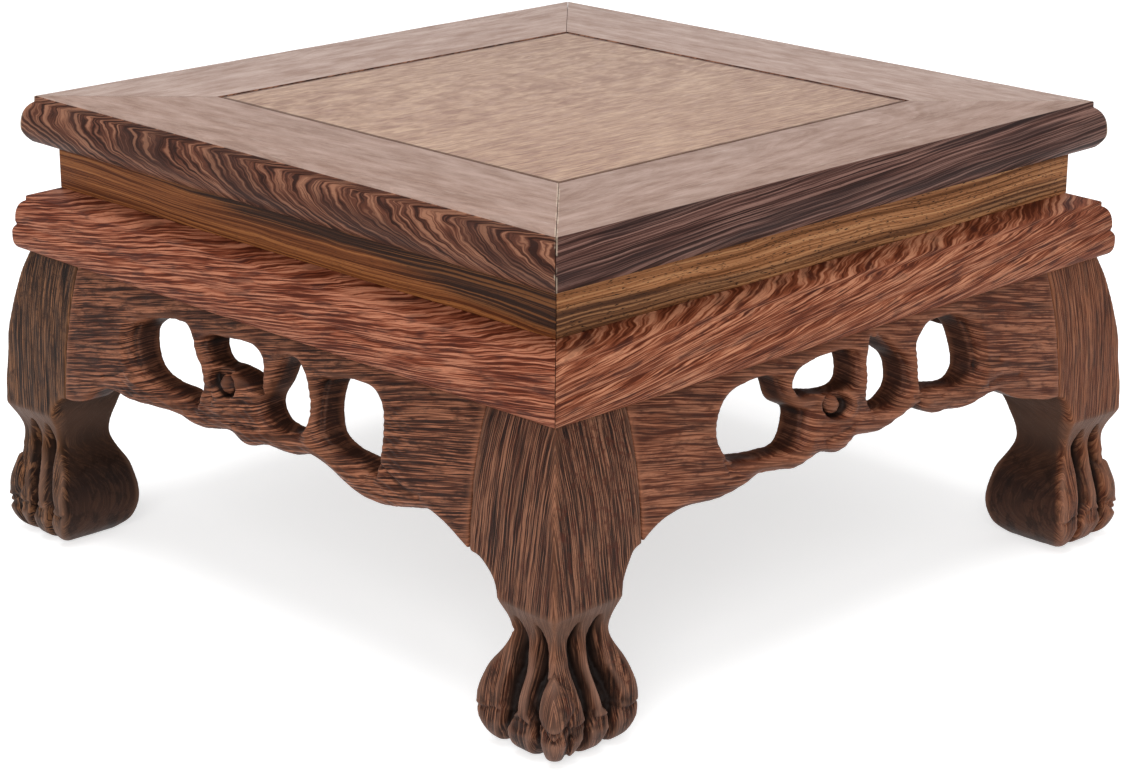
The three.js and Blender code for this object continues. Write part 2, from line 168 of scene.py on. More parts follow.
def inside_outline(apron_end, foot_inner, ankle_inner, flare):
    """Inner side of a leg, from the sole up to where the apron beside it ends, and its post."""
    leg_inside = smooth_through([
        (foot_inner + SOLE_INSET, 0),
        (foot_inner + SOLE_INSET * 0.3, TOE[1] * 0.35),
        (foot_inner, TOE[1] * 0.95),
        (between(foot_inner, ankle_inner, 0.26), between(TOE[1], ANKLE[1], 0.48)),
        (ankle_inner, ANKLE[1]),
        (between(SEAM, ankle_inner, (1 + flare) / 2), between(ANKLE[1], SHOULDER_HEIGHT, 0.66)),
        (between(SEAM, ankle_inner, flare), SHOULDER_HEIGHT),
        (between(SEAM, ankle_inner, flare * 0.52), between(SHOULDER_HEIGHT, apron_end, 0.75)),
        (SEAM, apron_end),
    ], 12, closed=False)
    return np.vstack([
        leg_inside, [(SEAM, POST_FOOT - POST_TAPER), (POST_BACK, POST_FOOT), (POST_BACK, FRAME_BOTTOM)],
    ])


def reach_at(heights, outline):
    """Distance out of an outline at each height."""
    order = np.argsort(outline[:, 1], kind="stable")
    return np.interp(heights, outline[order, 1], outline[order, 0])


face_outline = np.vstack([swell, leg_below_shoulder])


def squareness(heights, outline):
    """Turns a distance measured level into one measured square to a sloping outline."""
    step = 0.3
    slope = (reach_at(heights + step, outline) - reach_at(heights - step, outline)) / (2 * step)
    return 1 / np.sqrt(1 + slope ** 2)


def apron_back(heights):
    return APRON_BACK_TOP + APRON_CANT * (LEG_TOP - heights) / (LEG_TOP - SHOULDER_HEIGHT)


# Carving: a field is negative inside the wood and positive outside

def meet(a, b, rounding):
    """Where both are wood, with the edge between them rounded off."""
    h = np.clip(0.5 + 0.5 * (a - b) / rounding, 0, 1)
    return b + (a - b) * h + rounding * h * (1 - h)


def fade(values, start, end):
    """From 0 at start to 1 at end, easing in and out."""
    t = np.clip((values - start) / (end - start), 0, 1)
    return t * t * (3 - 2 * t)


def block(low, high):
    """Three arrays of cell places, one for each direction of a block of wood."""
    axes = [np.arange(a, b + CELL, CELL, dtype=np.float32) for a, b in zip(low, high)]
    return axes[0][:, None, None], axes[1][None, :, None], axes[2][None, None, :]


def softened(values, half, axis):
    """Each cell's mean with its neighbours in one direction."""
    count = values.shape[axis]
    total = np.cumsum(values, axis=axis, dtype=np.float64)
    places = np.arange(count)
    upper = np.take(total, np.minimum(places + half, count - 1), axis=axis)
    below = places - half - 1
    lower = np.take(total, np.maximum(below, 0), axis=axis)
    shape = [1, 1, 1]
    shape[axis] = count
    lower = lower * (below >= 0).reshape(shape)
    return ((upper - lower) / (2 * half + 1)).astype(np.float32)


def sampled(values, places):
    """Values between cells, at places counted in cells."""
    places = np.clip(places, 0, np.array(values.shape) - 1.001)
    corner = places.astype(int)
    share = places - corner
    result = np.zeros(len(places))
    for step in np.ndindex(2, 2, 2):
        weight = np.prod(np.where(step, share, 1 - share), axis=1)
        cell = corner + step
        result += weight * values[cell[:, 0], cell[:, 1], cell[:, 2]]
    return result


def skin(field, low, face_depth):
    """The carved surface as points and four-sided faces.

    Each point is marked with how much wood is round it, and how far back it lies.
    """
    depth = 3.0
    grid = openvdb.FloatGrid(background=depth)
    grid.copyFromArray(np.ascontiguousarray(np.clip(field, -depth, depth), dtype=np.float32))
    points, faces = grid.convertToQuads(isovalue=0.0)
    hollow_reach = 2.0
    half = max(1, round(hollow_reach / CELL))
    wood_share = np.clip(0.5 - field / CELL, 0, 1)
    for axis in (0, 1, 2, 0, 1, 2):
        wood_share = softened(wood_share, half, axis)
    places = points * CELL + np.array(low)
    return places, faces, {"hollow": sampled(wood_share, points), "behind": face_depth(places)}


def quarter_turned(points, turns):
    """Points given as along, out and height on the front side, turned to another side."""
    x, y = points[:, 0], -points[:, 1]
    for _ in range(turns):
        x, y = -y, x
    return np.stack([x, y, points[:, 2]], axis=1)


def carved_piece(name, points, faces, marks, turns):
    mesh = bpy.data.meshes.new(name)
    mesh.vertices.add(len(points))
    mesh.vertices.foreach_set("co", (quarter_turned(points, turns) * MM).ravel())
    mesh.loops.add(faces.size)
    mesh.loops.foreach_set("vertex_index", faces[:, ::-1].astype(np.int32).ravel())
    mesh.polygons.add(len(faces))
    mesh.polygons.foreach_set("loop_start", np.arange(0, faces.size, 4, dtype=np.int32))
    mesh.update(calc_edges=True)
    mesh.validate()
    mesh.shade_smooth()
    for mark, values in marks.items():
        attribute = mesh.attributes.new(mark, "FLOAT", "POINT")
        attribute.data.foreach_set("value", values.astype(np.float32))
    return new_object(name, mesh)


def new_object(name, mesh):
    piece = bpy.data.objects.new(name, mesh)
    bpy.context.scene.collection.objects.link(piece)
    return piece


# Claw grooves: heights, and at each the middle of the groove, half its width and its depth
WIDE_DEPTHS = (4, 3.6, 3, 3, 3.4, 3.8, 3.8, 3.6, 3, 1.2, 0)
NARROW_DEPTHS = (3.8, 3.4, 2.8, 2.8, 3.2, 3.6, 3.6, 3.4, 3, 1.2, 0)
GROOVES_LEFT_FACE = (
    (
        (0, 3, 7, 10.2, 12, 16.5, 21.5, 25.5, 29.5, 33, 34.6),
        (91.4, 91.6, 92.5, 93.5, 94, 94.3, 95, 94.6, 94.1, 94.3, 94.3),
        (2.2, 1.7, 1.2, 1.6, 2.5, 2.5, 2.3, 2.3, 2.2, 1, 0.1),
        WIDE_DEPTHS,
    ),
    (
        (0, 3, 7, 10.2, 12, 16.5, 21.5, 25.5, 29.5, 33, 34.6),
        (101.6, 102.3, 102.9, 102.6, 102.3, 102, 102, 101.6, 101.3, 101.2, 101.2),
        (2, 1.6, 1.1, 1.3, 1.9, 2, 2, 1.9, 1.6, 0.9, 0.1),
        NARROW_DEPTHS,
    ),
)
GROOVES_RIGHT_FACE = (
    (
        (0, 3, 7, 10.2, 12, 16.5, 21.5, 25.5, 30.5, 33.4, 34.6),
        (99.6, 99.4, 98.6, 97.5, 97.3, 98, 98.9, 99.4, 99.4, 99.2, 99.2),
        (2, 1.6, 1.1, 1.3, 1.8, 2.1, 2, 1.9, 1.7, 0.9, 0.1),
        NARROW_DEPTHS,
    ),
    (
        (0, 3, 7, 10.2, 12, 16.5, 21.5, 25.5, 29.5, 33.4, 34.8),
        (90.8, 90.8, 90.2, 89.8, 90.2, 91.5, 92.9, 93.1, 92.9, 92.5, 92.4),
        (2.2, 1.7, 1.2, 1.6, 2.7, 2.7, 2.2, 2.1, 2, 1, 0.1),
        WIDE_DEPTHS,
    ),
)
NAIL_LINE = 10.4


def groove_depth(across, height, groove):
    """How deep one claw groove is cut, with uneven chatter marks left on its floor."""
    heights, *columns = groove
    middle, half_width, depth = (np.interp(height, heights, column) for column in columns)
    inside = 1 - fade(np.abs(across - middle) / half_width, 0.35, 1.45)
    chatter = 0.16 * np.sin(height * 2.3 + 1.7 * np.sin(height * 0.9 + across * 2.0))
    return inside * depth * 1.15 + chatter * fade(inside, 0.75, 1.0) * fade(height, 9, 12)


def toe_relief(across, height, grooves):
    """What is cut away from the foot's square outline on one face."""
    cut = 0
    for groove in grooves:
        cut = np.maximum(cut, groove_depth(across, height, groove))
    toe_middle, toe_width = 97.8, 8.2
    wave = 0.5 * np.cos((across - toe_middle) * 2 * np.pi / toe_width)
    line = NAIL_LINE + wave - 0.35
    cut = cut + 0.8 * np.exp(-((height - line) / 0.4) ** 2)
    cut = cut + 0.35 * fade(line - height, 0.0, 0.6) * fade(height, 6.5, 9.5)
    above_nails = fade(height, NAIL_LINE, NAIL_LINE + 1.5)
    pad = np.exp(-((height - 15.0) / 3.4) ** 2) * above_nails
    return cut + 0.3 * (1 - pad) * above_nails * (1 - fade(height, 22, 30))


def corner_relief(across, height):
    """The lozenge pad over the claw of the corner toe, seen along the diagonal."""
    half_width = np.interp(height, (7.6, 9.5, 14.5, 18.5, 23.0), (0.0, 1.9, 5.0, 3.6, 0.0))
    edge = np.abs(across) - half_width
    on_pad = fade(height, 6.6, 8.0) * (1 - fade(height, 23.0, 26.0))
    outline = 0.8 * np.exp(-(edge / 0.5) ** 2)
    beside = 0.45 * fade(edge, -0.5, 1.5)
    claw_gap = 1.1 * np.exp(-((np.abs(across) - between(3.6, 2.4, fade(height, 8, 0))) / 0.5) ** 2)
    return on_pad * (outline + beside) + claw_gap * (1 - fade(height, 7.5, 9.5))


def lowered(height, across):
    """Heights as they count on the face: its lower edge lies below the inner side's."""
    sink = between(3.5, 4.2, fade(across, 88, 106))
    return height + sink * fade(height, 28, 38) * (1 - fade(height, 44, 62))


def leg_face(out, across, height, grooves):
    """One face of a leg, with the grooves between its toes."""
    reach = reach_at(lowered(height, across), face_outline)
    on_foot = 1 - fade(height, 34.8, 35.4)
    return (out - reach) * squareness(height, face_outline) + toe_relief(across, height, grooves) * on_foot


def leg_post(u, v, height):
    """The post behind the waist, which runs up into the frame."""
    post = np.maximum(np.maximum(POST_BACK - u, u - POST_FACE), np.maximum(POST_BACK - v, v - POST_FACE))
    return np.maximum(post, np.maximum(POST_FOOT - height, height - FRAME_BOTTOM))


def leg_field(u, v, height, left_apron, right_apron, inner):
    """The near leg: u is its distance out to the right, v to the front."""
    front = leg_face(v, u, height, GROOVES_LEFT_FACE)
    right = leg_face(u, v, height, GROOVES_RIGHT_FACE)
    leg = meet(front, right, np.interp(height, CORNER_HEIGHTS, CORNER_ROUNDINGS).astype(np.float32))
    at_corner = fade(u + v, 196, 206) * (1 - fade(height, 24, 27))
    leg = leg + corner_relief((u - v) / math.sqrt(2), height) * at_corner
    apron_ends = (left_apron["under"][-1], right_apron["under"][0])
    for across, apron_end, foot, ankle in zip((u, v), apron_ends, inner["foot"], inner["ankle"]):
        outline = inside_outline(on_apron(apron_end)[1], foot, ankle, inner["flare"])
        inside = (reach_at(height, outline) - across) * squareness(height, outline)
        leg = meet(leg, inside, INNER_ROUNDING)
    leg = leg + tool_marks(u, v, height)
    leg = meet(leg, -height, SOLE_ROUNDING)
    leg = np.maximum(leg, height - LEG_TOP)
    # bays that the aprons stand in
    back = apron_back(height) - CLEARANCE
    leg = np.maximum(leg, np.minimum(SEAM - u, v - back))
    leg = np.maximum(leg, np.minimum(SEAM - v, u - back))
    return np.minimum(leg, leg_post(u, v, height))


def behind_leg_faces(places):
    """How far points lie behind the nearer of the leg's two faces."""
    reach = reach_at(places[:, 2], face_outline)
    return np.minimum(reach - places[:, 0], reach - places[:, 1])


def tool_marks(a, b, c):
    """Slight waves left by hand work, which only cut in."""
    return TOOL_MARKS * (
        2 + np.sin(a * 0.71 + b * 0.23 + 1.0) * np.sin(c * 0.53 + a * 0.17)
        + np.sin(b * 0.83 - c * 0.29 + 2.0) * np.sin(a * 0.37 - b * 0.41 + 0.5)
    )


def make_legs():
    margin = 2 * CELL
    low = (POST_BACK - margin, POST_BACK - margin, -margin)
    high = (TOE[0] + margin, TOE[0] + margin, FRAME_BOTTOM + margin)
    legs = [None] * 4
    for first, aprons in enumerate(((WIDE_APRON, NARROW_APRON), (NARROW_APRON, WIDE_APRON))):
        field = leg_field(*block(low, high), *aprons, LEG_INSIDES[first])
        points, faces, marks = skin(field, low, behind_leg_faces)
        for turns in (first, first + 2):
            legs[turns] = carved_piece(CORNERS[turns] + "_carved_leg", points, faces, marks, turns)
    return legs


# Aprons: the points of "under" and "openings" are percentages of the half length between
# the legs, and of the drop from the band to where the apron meets the legs. Each opening
# has a splay, which is how far its slanting wall moves from back to face, toward the left
# if positive. The slanting walls look toward the near end: 1 for the right, -1 for the left.
# Lumps (middle, height, half width, half height, rise) and cut lines (points, width,
# depth) are in millimetres.
WIDE_APRON = {
    "under": (
        (-100, 104), (-93, 102.5), (-87.5, 97), (-82, 85), (-75, 82), (-65, 84), (-51, 82),
        (-40, 81), (-27.5, 84), (-13, 78.5), (-4, 84), (5, 79), (18, 78.5), (27, 73.5), (37, 78.5),
        (50, 88.5), (62, 89), (75, 83), (82, 81), (92, 89), (100, 98),
    ),
    "openings": (
        ((-64, 38), (-61.5, 28), (-55.5, 21), (-47, 16.5), (-39, 15), (-35.5, 23.5), (-33, 33.5),
         (-27.5, 45), (-26, 58), (-29, 70), (-41, 67.5), (-51, 67), (-60.5, 58)),
        ((-28, 26), (-25, 18), (-16, 15), (-6, 13.5), (-1, 18), (1.3, 30), (1.5, 48), (-7, 41.5),
         (-16, 38.5), (-24, 38)),
        ((2.5, 54), (6.5, 36), (9, 21.5), (12.5, 13), (17, 13.5), (20.8, 22), (23.8, 34.5), (25, 47),
         (24.3, 59), (17, 66.5), (7, 65.5)),
        ((30.5, 31.5), (32, 22.5), (38, 17.5), (46, 13.5), (52.5, 15), (57.5, 24.5), (59.7, 39),
         (59.9, 57), (58.5, 72), (48, 68.5), (39.5, 67), (33, 60.5), (30.5, 47)),
    ),
    "splays": (3.2, 2.2, 1.2, 3.2),
    "roundings": (3.2, 1.6, 2.6, 3.2),
    "near_end": 1,
    "bud": (-12.6, 64.2),
    "lumps": (
        (-49, 58, 4, 3, 0.9), (-22, 62.5, 3, 5, 0.6), (-2.5, 54.6, 4.5, 1.8, 0.8), (22, 59, 3.5, 4, 0.7),
        (26, 64, 2.5, 5, 0.4), (2.8, 61, 2.5, 4, 0.6), (-14, 58, 4, 2.5, 0.6), (44, 57.5, 5, 2.5, 0.6),
    ),
    "lines": (
        (((-50, 60.5), (-54, 59), (-59, 56.5), (-63, 55)), 0.7, 0.7),
        (((47.5, 59.5), (51, 57.5), (56, 55.5), (62, 54.8)), 0.7, 0.6),
        (((-7.5, 55.3), (-2.5, 56), (2.5, 56.4)), 0.5, 0.7),
        (((-40, 56.5), (-31, 57.5), (-24, 57), (-16, 60)), 0.5, 0.3),
        (((6, 58), (14, 57.4), (20, 58.5)), 0.5, 0.3),
        (((28, 58.5), (36, 56), (44, 54)), 0.5, 0.3),
        (((-20, 69), (-18, 63), (-17, 59)), 0.6, 0.4),
    ),
}
NARROW_APRON = {
    "under": (
        (-100, 92.5), (-92, 82.5), (-80, 78), (-67, 80.2), (-57, 78), (-47, 73.5), (-39, 75.5),
        (-31, 78), (-20, 73.5), (-11, 77.5), (-3, 70.5), (8, 73), (18, 68.5), (27, 62.5), (29.5, 61.5),
        (31.5, 69.5), (36, 74.5), (42, 75), (52, 78), (64, 74.5), (70, 75), (75, 80.5), (80, 86),
        (87, 92), (93, 96), (100, 97.5),
    ),
    "openings": (
        ((-66, 41.5), (-64, 25), (-58, 14), (-50, 10.5), (-41.5, 10.5), (-36, 17), (-33.5, 33), (-27, 43.5),
         (-27.5, 52), (-32, 66), (-41, 66.5), (-51.5, 64), (-62, 57)),
        ((-30, 24), (-28, 15), (-20, 10), (-10, 9), (-2.5, 13), (-0.5, 24), (-2.5, 37), (-11, 38.5),
         (-20, 34.5), (-27.5, 32)),
        ((2.5, 50), (4.3, 34.5), (5.3, 20), (8, 6.5), (11.5, 9.5), (16, 19), (20.5, 28), (22.5, 38),
         (21.5, 50.5), (15, 59.5), (6, 59)),
        ((29, 33), (30, 20), (34.5, 11), (40, 8.5), (48, 11), (53.5, 23), (55.5, 39), (55.5, 55),
         (51, 62), (39, 59), (29, 55)),
    ),
    "splays": (-2.0, -2.6, -2.6, -3.2),
    "roundings": (3.0, 1.6, 2.6, 3.2),
    "near_end": -1,
    "bud": (-10.6, 65.4),
    "lumps": (
        (45, 60, 4, 3, 0.9), (-24, 58.5, 4, 3, 0.8), (15, 61.5, 4, 2.5, 0.7), (-10.5, 56.5, 4, 1.8, 0.8),
        (24, 58.2, 3.5, 1.6, 0.7), (-22, 66, 3, 4, 0.6), (-2, 64, 3, 4, 0.5), (-40, 57.5, 5, 2, 0.5),
    ),
    "lines": (
        (((-51, 61), (-49, 57.5), (-44, 55.5), (-38, 55)), 0.6, 0.7),
        (((40, 61.5), (46, 62), (51, 63.5), (55, 63)), 0.9, 0.6),
        (((50, 57.5), (56, 58.5), (63, 57)), 0.8, 0.5),
        (((-15, 57.5), (-10, 58.2), (-5, 58.6)), 0.5, 0.7),
        (((20.5, 60.5), (25, 59.3), (31, 58.4)), 0.5, 0.7),
        (((-38, 58.5), (-30, 57.5), (-22, 60)), 0.5, 0.3),
        (((2, 61), (10, 59.5), (18, 60.5)), 0.5, 0.3),
    ),
}
OPENING_STEPS = 5
UNDER_STEPS = 6


def on_apron(point):
    return SEAM * point[0] / 100, LEG_TOP - (LEG_TOP - APRON_FOOT) * point[1] / 100


def line_distance(along, height, points, closed=False):
    """Distance from each place on a side to a line drawn on it."""
    ends = np.roll(points, -1, axis=0) if closed else points[1:]
    nearest = np.full(np.broadcast(along, height).shape, 1e9)
    for (x0, y0), (x1, y1) in zip(points, ends):
        dx, dy = x1 - x0, y1 - y0
        share = ((along - x0) * dx + (height - y0) * dy) / max(dx * dx + dy * dy, 1e-9)
        share = np.clip(share, 0, 1)
        square = (along - x0 - share * dx) ** 2 + (height - y0 - share * dy) ** 2
        nearest = np.minimum(nearest, square)
    return np.sqrt(nearest)


def outline_depth(along, height, points):
    """Distance to a closed outline, negative within it."""
    within = np.zeros(np.broadcast(along, height).shape, dtype=bool)
    for (x0, y0), (x1, y1) in zip(points, np.roll(points, -1, axis=0)):
        if y0 == y1:
            continue
        crossing = x0 + (height - y0) * (x1 - x0) / (y1 - y0)
        within ^= ((y0 > height) != (y1 > height)) & (along < crossing)
    return line_distance(along, height, points, closed=True) * np.where(within, -1, 1)


def bud_relief(along, height, centre, near_end):
    """A round bud toward one end of an almond-shaped eye: positive stands proud.

    Also returns how far each place lies within the eye, from 1 in its middle to 0.
    """
    turn = math.radians(-12)
    x = (along - centre[0]) * math.cos(turn) + (height - centre[1]) * math.sin(turn)
    y = (height - centre[1]) * math.cos(turn) - (along - centre[0]) * math.sin(turn)
    ring = np.sqrt(((x + 1.3 * near_end) / 5.8) ** 2 + (y / 3.6) ** 2)
    bud = np.sqrt((x / 3.3) ** 2 + (y / 2.5) ** 2)
    rim = 0.5 * np.exp(-((ring - 1.08) / 0.2) ** 2)
    moat = -2.5 * (1 - fade(ring, 0.78, 1.0))
    dome = 3.1 * np.sqrt(np.clip(1 - bud ** 2, 0, 1))
    return rim + moat + dome, 1 - fade(ring, 0.9, 1.3)


def lump_relief(along, height, lump):
    middle, level, half_width, half_height, rise = lump
    return rise * np.exp(-((along - middle) / half_width) ** 2 - ((height - level) / half_height) ** 2)


def quarter_round(inset, radius):
    """How far a rounded edge falls back at a distance inside the outline."""
    short = np.clip(radius - inset, 0, radius)
    return radius - np.sqrt(np.maximum(radius ** 2 - short ** 2, 0))


def splayed(void, shift):
    """An opening's field moved along the side, by so much at each distance out and height."""
    cells = shift / CELL
    whole = np.floor(cells).astype(int)
    part = (cells - whole)[None, :, :]
    count = void.shape[0]
    first = np.clip(np.arange(count)[:, None, None] + whole[None, :, :], 0, count - 1)
    second = np.clip(first + 1, 0, count - 1)
    level = np.arange(void.shape[1])[None, None, :]
    return void[first, level] * (1 - part) + void[second, level] * part


def cut_openings(along, out, height, pattern):
    """The openings' field, and how far the face falls back round them.

    One wall of each opening is slanting. It and the floor are well rounded at the face,
    and the top and the other wall are left nearly square.
    """
    s, z = along[:, :, 0], height[0, :, :]
    back = apron_back(height)[0]
    forward = np.clip((out[0] - back) / (reach_at(height, face_outline)[0] - back), 0, 1)
    cut = np.full(np.broadcast(along, out, height).shape, -1e3)
    rim_fall = np.zeros(np.broadcast(s, z).shape)
    blur = round(1.6 / CELL)
    square_trim = 0.55
    square_rounding = 1.4
    for opening, splay, rounding in zip(pattern["openings"], pattern["splays"], pattern["roundings"]):
        ring = smooth_through([on_apron(p) for p in opening], OPENING_STEPS, closed=True)
        void = -outline_depth(s, z, ring)
        across, up = np.gradient(void, CELL)
        soft_side = fade(up + across * pattern["near_end"], -0.2, 0.5)[:, :, None]
        soft_side = softened(softened(soft_side, blur, 0), blur, 1)[:, :, 0]
        void = void - square_trim * (1 - soft_side)
        at_face = np.maximum(void, splayed(void, np.full((1, void.shape[1]), splay))[:, 0])
        rim = quarter_round(-at_face, between(square_rounding, rounding, soft_side))
        rim_fall = np.maximum(rim_fall, rim)
        cut = np.maximum(cut, np.maximum(void[:, None, :], splayed(void, splay * forward)))
    return cut, rim_fall


def branch_relief(s, z, pattern):
    """The bud, swellings and cut lines on the branch, and how far each place lies in the bud's eye."""
    relief, in_eye = bud_relief(s, z, pattern["bud"], pattern["near_end"])
    for lump in pattern["lumps"]:
        relief = relief + lump_relief(s, z, lump)
    for points, width, depth in pattern["lines"]:
        relief = relief - depth * np.exp(-(line_distance(s, z, np.array(points)) / width) ** 2)
    return relief, in_eye


def apron_field(along, out, height, pattern):
    s, z = along[:, :, 0], height[0, :, :]
    under = smooth_through([on_apron(p) for p in pattern["under"]], UNDER_STEPS, closed=False)
    beyond = SEAM + 6.0
    over = LEG_TOP + 6.0
    outline = np.vstack([under, [
        (beyond, under[-1][1]), (beyond, over), (-beyond, over), (-beyond, under[0][1]),
    ]])
    carved_under = 1 - fade(np.abs(s), 62, 74)
    free_edge = outline_depth(s, z, outline) - 1.1 * carved_under
    openings, rim_fall = cut_openings(along, out, height, pattern)
    relief, in_eye = branch_relief(s, z, pattern)
    fall = quarter_round(-free_edge, between(0.8, 3.0, carved_under)) + rim_fall * (1 - in_eye)
    recess = 0.7 * (1 - fade(np.abs(s), 38, 50)) * fade(z, 59, 62) * (1 - fade(z, 72, 77))
    carved_zone = (1 - fade(np.abs(s), 50, 62)) * (1 - fade(z, 70, 77))
    bark = 0.12 * np.sin(z * 3.6 + s * 0.9 + 2.2 * np.sin(s * 0.23)) * carved_zone
    fall = (fall + recess - relief + bark)[:, None, :].astype(np.float32)
    board = (out - reach_at(height, face_outline)) * squareness(height, face_outline)
    board = board + np.maximum(fall, -1.5)
    cut_through = np.maximum(free_edge[:, None, :], openings)
    board = np.maximum(board, apron_back(height) - out + quarter_round(-cut_through, BACK_ROUNDING))
    board = np.maximum(board, cut_through)
    board = board + tool_marks(along, out, height)
    board = np.maximum(board, np.abs(along) - (SEAM - GLUE_LINE))
    return np.maximum(board, height - LEG_TOP)


def behind_apron_face(places):
    return reach_at(places[:, 2], face_outline) - places[:, 1]


def make_aprons():
    margin = 2 * CELL
    low = (-SEAM - margin, APRON_BACK_TOP - margin, SHOULDER_HEIGHT - margin)
    high = (SEAM + margin, SHOULDER + 1 + margin, LEG_TOP + margin)
    aprons = [None] * 4
    for first, pattern in enumerate((WIDE_APRON, NARROW_APRON)):
        points, faces, marks = skin(apron_field(*block(low, high), pattern), low, behind_apron_face)
        for turns in (first, first + 2):
            aprons[turns] = carved_piece(SIDES[turns] + "_carved_apron", points, faces, marks, turns)
    return aprons


# Moulded lengths: a section is given as out and height, clockwise. A node tree
# draws it along one side and cuts its ends on the mitres.

def eased(points, radius):
    """Takes the sharpness off a section's corners."""
    points = np.array(points, dtype=float)
    result = []
    for before, corner, after in zip(np.roll(points, 1, axis=0), points, np.roll(points, -1, axis=0)):
        back, on = before - corner, after - corner
        back_length, on_length = np.linalg.norm(back), np.linalg.norm(on)
        bend = math.pi - math.acos(np.clip(np.dot(back, on) / (back_length * on_length), -1, 1))
        if bend < math.radians(28):
            result.append(corner)
            continue
        cut = min(radius, back_length * 0.4, on_length * 0.4)
        result.extend(bezier(corner + back / back_length * cut, corner, corner + on / on_length * cut, 3))
    return result


def rail_section():
    top = FRAME_TOP - 0.03  # room for the marks of the plane
    bulge = (TOP_ARRIS + 2.9, top - 8.4)
    foot = (TOP_ARRIS + 0.6, FRAME_BOTTOM)
    step = top - 1.6
    upper = bezier((TOP_ARRIS, step), (bulge[0], step - 1.6), bulge, 10)
    lower = bezier(bulge, (bulge[0], (FRAME_BOTTOM + bulge[1]) / 2), foot, 8)
    return [(RAIL_INNER, top), (TOP_ARRIS, top), *upper, *lower[1:], (RAIL_INNER, FRAME_BOTTOM)]


def waist_section():
    return [
        (WAIST_BACK, FRAME_BOTTOM), (WAIST_FACE, FRAME_BOTTOM),
        (WAIST_FACE, WAIST_BOTTOM), (WAIST_BACK, WAIST_BOTTOM),
    ]


def band_section():
    fillet = WAIST_FACE + 6.9
    fillet_top = WAIST_BOTTOM - 2.3
    bead = WAIST_FACE + 9.9
    quirk = LEG_TOP + 6.8
    ovolo = bead - 0.7
    return [
        (WAIST_BACK, WAIST_BOTTOM), (WAIST_FACE, WAIST_BOTTOM),
        (fillet, fillet_top), (fillet, fillet_top - 1.3),
        *bezier((fillet, fillet_top - 1.3), (ovolo, fillet_top - 2), (ovolo, quirk + 1), 8)[1:],
        *bezier((bead - 1, quirk), (bead, quirk - 1), (bead, quirk - 2), 5),
        *bezier((bead, LEG_TOP + 3.4), (bead, LEG_TOP), (bead - 2.3, LEG_TOP), 8),
        (WAIST_BACK, LEG_TOP),
    ]


def add_node(tree, kind, inputs=(), **settings):
    """Adds a node, sets its options, and sets or links its inputs by name or number."""
    node = tree.nodes.new(kind)
    for key, value in settings.items():
        setattr(node, key, value)
    for key, value in dict(inputs).items():
        socket = node.inputs[key]
        if isinstance(value, bpy.types.NodeSocket):
            tree.links.new(value, socket)
        else:
            socket.default_value = value
    return node


def reckon(tree, operation, first, second=0.5, third=0.5):
    return add_node(tree, "ShaderNodeMath", {0: first, 1: second, 2: third}, operation=operation).outputs[0]


def times(tree, first, second):
    return reckon(tree, "MULTIPLY", first, second)


def split(tree, vector):
    return add_node(tree, "ShaderNodeSeparateXYZ", {0: vector}).outputs[:]


def joined(tree, *parts):
    return add_node(tree, "ShaderNodeCombineXYZ", dict(enumerate(parts))).outputs[0]


def vector_math(tree, operation, inputs, output=0):
    return add_node(tree, "ShaderNodeVectorMath", inputs, operation=operation).outputs[output]


def pushes(tree, noise_colour, amount):
    """A push in some direction for each place, up to about half the amount."""
    centred = vector_math(tree, "SUBTRACT", {0: noise_colour, 1: (0.5, 0.5, 0.5)})
    return vector_math(tree, "SCALE", {0: centred, "Scale": amount})


def moulding_tree():
    """Draws a section along the front side, mitres its ends and turns it to its own side."""
    tree = bpy.data.node_groups.new("mitred_moulding", "GeometryNodeTree")
    asked = (
        ("Section", "Geometry"), ("Lengths", "Int"), ("Glue Line", "Float"),
        ("Side Turn", "Float"), ("Plane Marks", "Float"), ("Wood", "Material"),
    )
    for name, kind in asked:
        tree.interface.new_socket(name, in_out="INPUT", socket_type="NodeSocket" + kind)
    tree.interface.new_socket("Moulding", in_out="OUTPUT", socket_type="NodeSocketGeometry")
    given = tree.nodes.new("NodeGroupInput").outputs
    section = add_node(tree, "GeometryNodeMeshToCurve", {"Mesh": given["Section"]})
    line = add_node(tree, "GeometryNodeCurvePrimitiveLine", {"Start": (-1, 0, 0), "End": (1, 0, 0)})
    steps = add_node(tree, "GeometryNodeResampleCurve", {
        "Curve": line.outputs[0], "Count": given["Lengths"],
    })
    drawn = add_node(tree, "GeometryNodeCurveToMesh", {
        "Curve": steps.outputs[0], "Profile Curve": section.outputs[0], "Fill Caps": True,
    })
    x, y, z = split(tree, tree.nodes.new("GeometryNodeInputPosition").outputs[0])
    cut_back = times(tree, given["Glue Line"], 1 / math.sqrt(2))
    half_length = reckon(tree, "SUBTRACT", times(tree, y, -1.0), cut_back)
    mitred = joined(tree, times(tree, x, half_length), y, z)
    marks = add_node(tree, "ShaderNodeTexNoise", {"Vector": mitred, "Scale": 70.0, "Detail": 1.0})
    placed = add_node(tree, "GeometryNodeSetPosition", {
        "Geometry": drawn.outputs[0], "Position": mitred,
        "Offset": pushes(tree, marks.outputs["Color"], given["Plane Marks"]),
    })
    turned = add_node(tree, "GeometryNodeTransform", {
        "Geometry": placed.outputs[0], "Rotation": joined(tree, 0, 0, given["Side Turn"]),
    })
    real = add_node(tree, "GeometryNodeRealizeInstances", {0: turned.outputs[0]})
    finished = add_node(tree, "GeometryNodeSetMaterial", {
        "Geometry": real.outputs[0], "Material": given["Wood"],
    })
    add_node(tree, "NodeGroupOutput", {0: finished.outputs[0]})
    return tree


def socket_id(tree, name):
    return next(item.identifier for item in tree.interface.items_tree if item.name == name)


